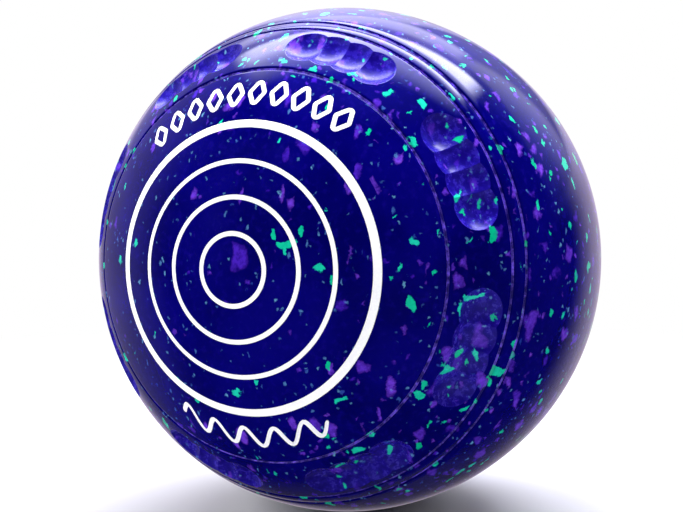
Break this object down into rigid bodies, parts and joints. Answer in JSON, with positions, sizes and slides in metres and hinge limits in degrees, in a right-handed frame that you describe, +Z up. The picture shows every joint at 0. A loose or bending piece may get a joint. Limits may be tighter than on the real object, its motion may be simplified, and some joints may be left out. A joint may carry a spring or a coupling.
{
  "type": "lawn bowl",
  "caption": "Biased lawn bowl: a flattened ball with dimple grips, turned grooves and painted engraved rings, standing on its running surface.",
  "frame": {"origin": "contact point of the running surface with the green, at the bottom centre of the bowl", "axes": "+Z up, +Y along the running axis towards the bias face, so the outer face looks to -Y"},
  "size_m": [0.124, 0.1124, 0.124],
  "materials": {
    "moulded_body": "polished moulded resin, dark blue-violet with turquoise and purple flecks",
    "white_paint": "cured white enamel in the engraving"
  },
  "bodies": {
    "root": {"bias_disc_ring_paint": "white_paint", "bias_inner_ring_paint_1": "white_paint", "bias_inner_ring_paint_2": "white_paint", "bias_lozenge_paint_1": "white_paint", "bias_lozenge_paint_2": "white_paint", "bias_lozenge_paint_3": "white_paint", "bias_lozenge_paint_4": "white_paint", "bias_lozenge_paint_5": "white_paint", "bias_lozenge_paint_6": "white_paint", "bias_lozenge_paint_7": "white_paint", "bias_wave_paint": "white_paint", "bowl_body": "moulded_body", "outer_disc_ring_paint": "white_paint", "outer_inner_ring_paint_1": "white_paint", "outer_inner_ring_paint_2": "white_paint", "outer_inner_ring_paint_3": "white_paint", "outer_lozenge_paint_1": "white_paint", "outer_lozenge_paint_10": "white_paint", "outer_lozenge_paint_2": "white_paint", "outer_lozenge_paint_3": "white_paint", "outer_lozenge_paint_4": "white_paint", "outer_lozenge_paint_5": "white_paint", "outer_lozenge_paint_6": "white_paint", "outer_lozenge_paint_7": "white_paint", "outer_lozenge_paint_8": "white_paint", "outer_lozenge_paint_9": "white_paint", "outer_wave_paint": "white_paint"}
  },
  "joints": []
}
